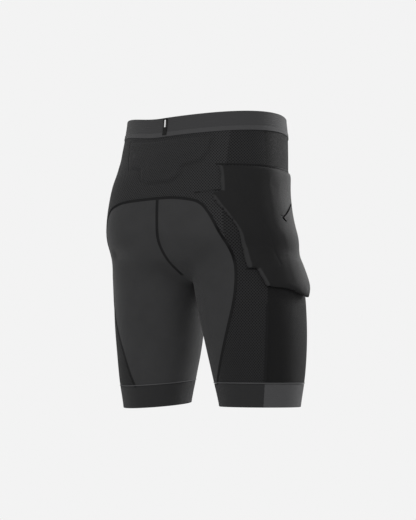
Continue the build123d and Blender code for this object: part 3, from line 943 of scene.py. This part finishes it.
def from_behind(line):
    """A line seen from behind, laid on the skin."""
    flat, _ = evenly(np.array(line), 0.002)
    return on_skin([(x, 0.4, z) for x, z in flat], [(0.0, -1.0, 0.0)] * len(flat))


def from_front(line):
    """A line seen from the front, laid on the skin."""
    flat, _ = evenly(np.array(line), 0.002)
    return on_skin([(x, -0.4, z) for x, z in flat], [(0.0, 1.0, 0.0)] * len(flat))


def from_side(line, flip):
    """A line of the hip pad's outline, seen from the side, laid on the skin."""
    flat, _ = evenly(np.array(line), 0.002)
    return on_skin([(flip * 0.4, y - flip * CLOTH_TURN, z) for y, z in flat],
                   [(-flip, 0.0, 0.0)] * len(flat))


# Thin dark ribbons in the thread's colour along the hip pad's top edge, notch and lower corner:
# painted shade for the shadow in the narrow gap over those edges, not sewn seams.
PAD_EDGE_SHADE_LINES = {"top": ((0.086, -0.0968), (-0.066, -0.0968)),
                    "notch": ((0.106, -0.1450), (0.096, -0.1425), (0.087, -0.1405)),
                    "corner": ((0.056, -0.2720), (0.045, -0.2722))}
for side, flip in SIDES.items():
    for place, line in PAD_EDGE_SHADE_LINES.items():
        # Painted shade: a dark ribbon laid along this edge of the pad.
        seam = seam_ribbon(f"hip_pad_{place}_thread_{side}", *from_side(line, flip), 0.0026,
                           rows=False)
        finish_piece(seam, thread, [], side=side)

    seam = seam_ribbon(f"seat_seam_thread_{side}", *from_behind(seat_seam_line(flip)), 0.005)
    finish_piece(seam, thread, [f"seat_seam_{side}"], side=side)

    heights = np.arange(SIDE_SEAM_TOP_Z, PANEL_END_Z, -0.002)
    at, along = side_seam(flip)
    start = at + along * 0.3
    hits = on_skin([start + Vector((0.0, 0.0, z)) for z in heights], [-along] * len(heights))
    seam = seam_ribbon(f"side_seam_thread_{side}", *hits, 0.005)
    finish_piece(seam, thread, [f"side_seam_{side}"], side=side)

    edge = [(flip * x, z) for z, x in through(POUCH_EDGE[:4], 8)]
    edge[0] = (edge[0][0], -0.041)
    seam = seam_ribbon(f"pouch_seam_thread_{side}", *from_front(edge), 0.004)
    finish_piece(seam, thread, [], body="pelvis")

seam = seam_ribbon("centre_back_thread", *from_behind([(0.0, -0.153), (0.0, -0.275)]), 0.006,
                   rows=False)
finish_piece(seam, thread, ["centre_back_seam"], body="pelvis")

# ---- Waistband -------------------------------------------------------------------------------
# Wide knitted elastic, sewn into a ring, with a smoother woven strip along its lower edge and a
# plain folded tab of woven tape sewn to the middle of the back.
BAND_SWELL, STRIP_HEIGHT, STRIP_RISE = 0.0012, 0.008, 0.0006
RIM_AROUND = np.linspace(0.0, 2 * np.pi, 720, endpoint=False)


def swept_band(name, profile, ring):
    """A closed band: a profile of (height share, grow) points swept round a ring function."""
    rings = np.array([ring(RIM_AROUND, share, grow) for share, grow in profile])
    count, around = rings.shape[:2]
    faces = grid_faces(count, around)
    faces += [((count - 1) * around + i, (count - 1) * around + (i + 1) % around,
               (i + 1) % around, i) for i in range(around)]
    mesh = bpy.data.meshes.new(name)
    mesh.from_pydata(rings.reshape(-1, 3).tolist(), [], faces)
    layer = mesh.uv_layers.new(name="cloth")
    step = 2 * np.pi / around * 0.14
    heights = np.concatenate([[0.0], np.cumsum(np.abs(np.diff([s for s, _ in profile])))])
    uv = []
    for polygon in mesh.polygons:
        column = polygon.index % around
        row = min(polygon.index // around, count - 1)
        low, high = heights[row], heights[min(row + 1, count - 1)]
        uv += [(column * step, low), ((column + 1) * step, low),
               ((column + 1) * step, high), (column * step, high)]
    layer.data.foreach_set("uv", np.array(uv).reshape(-1))
    piece = link(name, mesh)
    select_only(piece)
    bpy.ops.object.mode_set(mode="EDIT")
    bpy.ops.mesh.select_all(action="SELECT")
    bpy.ops.mesh.normals_make_consistent(inside=False)
    bpy.ops.object.mode_set(mode="OBJECT")
    return piece


def waist_ring(angle, height, grow):
    """A ring of the band, height metres above its lower edge."""
    x = trunk_skin(angle, np.full(len(angle), -BAND_HEIGHT))[:, 0]
    return trunk_skin(angle, band_low_z(x) + height, grow)


def band_profile(height, out, back, corner, ribs=0, rib=0.0):
    """Outside, rounded top, inside and rounded foot of a knitted band."""
    turn = np.linspace(0.0, np.pi, 9)
    middle, radius = (out + back) / 2, (out - back) / 2
    rows = np.linspace(corner, height - corner, max(2, ribs * 4 + 1))
    outside = [(h, out + rib * math.cos(2 * math.pi * ribs * (h - corner) / (height - 2 * corner)))
               for h in rows]
    top = [(height - corner + corner * math.sin(t), middle + radius * math.cos(t)) for t in turn]
    foot = [(corner - corner * math.sin(t), middle - radius * math.cos(t)) for t in turn]
    return outside + top[1:] + foot


def ribbed_knit(name, colour, pitch, sheen=0.05):
    """Knitted elastic: raised rows along the band over fine upright ribs."""
    finish = Finish(name, colour, 0.7, sheen)
    u, v = finish.cloth_uv()
    ribs = finish.wave(u, pitch)
    rows = finish.wave(v, pitch * 1.4)
    grit = finish.noise(1800.0, 2.0)
    tone = finish.math("MULTIPLY", finish.math("ADD", ribs, rows), 0.5)
    finish.shade(finish.math("ADD", finish.math("MULTIPLY", tone, 0.6),
                             finish.math("MULTIPLY", grit, 0.4)), 0.7, 1.3)
    finish.roughen(grit, 0.2)
    finish.bump(tone, 0.0003)
    return finish.material


band_knit = ribbed_knit("band_elastic_knit", (0.0310, 0.0310, 0.0320), 1.1)
band = swept_band("waistband_elastic", band_profile(BAND_HEIGHT, BAND_SWELL, -0.0015, 0.0014,
                                                    ribs=9, rib=0.00012), waist_ring)
finish_piece(band, band_knit, ["waistband"], body="pelvis")

strip_knit = ribbed_knit("band_strip_weave", (0.0400, 0.0400, 0.0412), 0.7)
strip = swept_band("waistband_strip", band_profile(STRIP_HEIGHT, BAND_SWELL + STRIP_RISE,
                                                   BAND_SWELL - 0.0004, 0.0005), waist_ring)
finish_piece(strip, strip_knit, ["band_edge_strip"], body="pelvis")

TAB_WIDTH, TAB_HEIGHT, TAB_DROP, TAB_THICKNESS = 0.009, 0.030, 0.001, 0.0014
BAR_WIDTH, BAR_HEIGHT, BAR_DROP = 0.0030, 0.0130, 0.0030
tab_top = -BAND_DIP - TAB_DROP
bpy.ops.object.select_all(action="DESELECT")
bpy.ops.mesh.primitive_cube_add(size=1.0)
tab = bpy.context.object
tab.name = "back_tab_tape"
tab.scale = (TAB_WIDTH, TAB_THICKNESS, TAB_HEIGHT)
tab.location = (0.0, 0.0, tab_top - TAB_HEIGHT / 2)
bpy.ops.object.transform_apply(location=True, rotation=True, scale=True)
apply_modifier(tab, "BEVEL", width=0.00035, segments=3)
bpy.ops.object.mode_set(mode="EDIT")
bpy.ops.mesh.select_all(action="SELECT")
bpy.ops.mesh.subdivide(number_cuts=6)
bpy.ops.object.mode_set(mode="OBJECT")
co = places(tab.data)
outer_y = trunk_skin(np.full(len(co), np.pi / 2), co[:, 2], BAND_SWELL)[:, 1]
co[:, 1] += outer_y + TAB_THICKNESS / 2
put(tab.data, co)


def folded_tape(name):
    """Black woven tape with one plain pale bar along it and a fine weave."""
    finish = Finish(name, (0.008, 0.008, 0.008), 0.6, 0.02)
    place = finish.node("ShaderNodeTexCoord")
    parts = finish.node("ShaderNodeSeparateXYZ")
    finish.join(place.outputs["Object"], parts.inputs[0])
    z = finish.math("MULTIPLY", parts.outputs[2], 1000.0)
    x = finish.math("MULTIPLY", parts.outputs[0], 1000.0)
    bar = finish.math("COMPARE", z, (tab_top - BAR_DROP - BAR_HEIGHT / 2) * 1000.0)
    bar.node.inputs[2].default_value = BAR_HEIGHT * 500.0
    inside = finish.math("COMPARE", x, 0.0)
    inside.node.inputs[2].default_value = BAR_WIDTH * 500.0
    weave = finish.math("MULTIPLY", finish.wave(x, 0.5), finish.wave(z, 0.5))
    mark = finish.math("MULTIPLY", bar, inside)
    tone = finish.math("ADD", finish.math("MULTIPLY", weave, 0.015), mark, clamp=True)
    finish.shade(tone, 0.8, 70.0)
    finish.bump(weave, 0.0002)
    return finish.material


finish_piece(tab, folded_tape("tab_tape"), ["back_tab"], body="pelvis")

# ---- Cuffs -----------------------------------------------------------------------------------
# A firm knitted band round each leg above the knee, with a narrow pale piping where it joins the
# leg and a printed silicone gripper inside.
CUFF_SWELL = 0.0008
PIPING_RADIUS, PIPING_STANDS_OUT = 0.0009, 0.0007
GRIPPER_HEIGHT, GRIPPER_THICKNESS, GRIPPER_LIFT = 0.022, 0.0010, 0.008
cuff_knit = ribbed_knit("cuff_firm_knit", (0.0185, 0.0185, 0.0191), 0.8)
cuff_front_knit = ribbed_knit("cuff_front_knit", (0.0500, 0.0500, 0.0515), 0.8)
piping_cord = ribbed_knit("piping_cord", (0.06, 0.06, 0.062), 0.5)


def silicone(name):
    """Soft printed silicone with a slightly wavy gloss."""
    finish = Finish(name, (0.05, 0.05, 0.05), 0.35, 0.0, 0.5)
    wavy = finish.noise(400.0, 2.0)
    finish.shade(wavy, 0.8, 1.2)
    finish.roughen(wavy, 0.2)
    finish.bump(wavy, 0.0002)
    return finish.material


gripper_silicone = silicone("gripper_silicone")


def leg_ring(flip, foot_z):
    """A ring function for a band round one leg, measured up from foot_z."""
    return lambda angle, height, grow: leg_skin(angle, np.full(len(angle), foot_z + height),
                                                flip, grow)


for side, flip in SIDES.items():
    cuff = swept_band(f"cuff_knit_{side}",
                      band_profile(CUFF_HEIGHT, CUFF_SWELL, -0.0015, 0.0012, ribs=10, rib=0.00008),
                      leg_ring(flip, -SIDE_LENGTH))
    finish_piece(cuff, cuff_knit, [f"leg_cuff_{side}"], body=side + "_leg")
    cuff.data.materials.append(cuff_front_knit)
    middles = np.array([p.center[:] for p in cuff.data.polygons])
    in_front = front_field(middles) > 0.0
    cuff.data.polygons.foreach_set("material_index", in_front.astype(np.int32))

    foot = -SIDE_LENGTH + CUFF_HEIGHT + EDGE_GAP
    cord_profile = [(PIPING_RADIUS * (1.0 - math.cos(t)),
                     PIPING_STANDS_OUT + PIPING_RADIUS * math.sin(t))
                    for t in np.linspace(0.0, 2 * np.pi, 12, endpoint=False)]
    piping = swept_band(f"cuff_piping_cord_{side}", cord_profile, leg_ring(flip, foot))
    finish_piece(piping, piping_cord, [f"cuff_piping_{side}"], body=side + "_leg")

    gripper = swept_band(f"cuff_gripper_band_{side}",
                         band_profile(GRIPPER_HEIGHT, -0.0015, -0.0015 - GRIPPER_THICKNESS,
                                      0.0004, ribs=5, rib=0.0),
                         leg_ring(flip, -SIDE_LENGTH + GRIPPER_LIFT))
    finish_piece(gripper, gripper_silicone, [f"cuff_gripper_{side}"],
                 body=side + "_leg")

bpy.data.objects.remove(worn)

# ---- Studio ----------------------------------------------------------------------------------
# A wide pale floor that gives off the tone of the even pale sky, with one large soft light in
# front on the wearer's right and one behind.
SKY = 0.896
FLOOR_Z = -0.76
bpy.ops.object.select_all(action="DESELECT")
bpy.ops.mesh.primitive_plane_add(size=60.0, location=(0.0, 0.0, FLOOR_Z))
floor = bpy.context.object
floor.name = "studio_floor"
pale = bpy.data.materials.new("pale_floor")
pale.use_nodes = True
pale_shader = pale.node_tree.nodes["Principled BSDF"]
pale_shader.inputs["Base Color"].default_value = (0.0, 0.0, 0.0, 1.0)
pale_shader.inputs["Roughness"].default_value = 1.0
pale_shader.inputs["Specular IOR Level"].default_value = 0.0
pale_shader.inputs["Emission Color"].default_value = (SKY, SKY, SKY, 1.0)
pale_shader.inputs["Emission Strength"].default_value = 1.0
floor.data.materials.append(pale)

sky = bpy.data.worlds.new("studio_sky")
sky.use_nodes = True
sky.node_tree.nodes["Background"].inputs["Color"].default_value = (SKY, SKY, SKY, 1.0)
bpy.context.scene.world = sky
bpy.context.scene.view_settings.view_transform = "Standard"


def soft_light(name, place, size, power):
    light = bpy.data.lights.new(name, "AREA")
    light.shape = "DISK"
    light.size = size
    light.energy = power
    lamp = link(name, light)
    lamp.location = place
    lamp.rotation_euler = (Vector((0.0, 0.0, -0.25)) - Vector(place)).to_track_quat("-Z", "Y") \
        .to_euler()


soft_light("key_light", (-1.1, -2.5, 0.8), 1.2, 90.0)
soft_light("fill_light", (-1.3, 2.4, 1.1), 1.4, 38.0)

camera = bpy.data.cameras.new("camera")
camera.lens = 82.9
camera.shift_x = 0.0071
view = link("camera", camera)
AZIMUTH, LOOK_UP, ROLL = math.radians(216.0), math.radians(5.41), math.radians(0.31)
view.location = (2.113 * math.sin(AZIMUTH), -2.113 * math.cos(AZIMUTH), -0.444)
aim = Vector((-math.sin(AZIMUTH), math.cos(AZIMUTH), math.tan(LOOK_UP)))
turn = aim.to_track_quat("-Z", "Y").to_matrix() @ Matrix.Rotation(ROLL, 3, "Z")
view.rotation_euler = turn.to_euler()
bpy.context.scene.camera = view
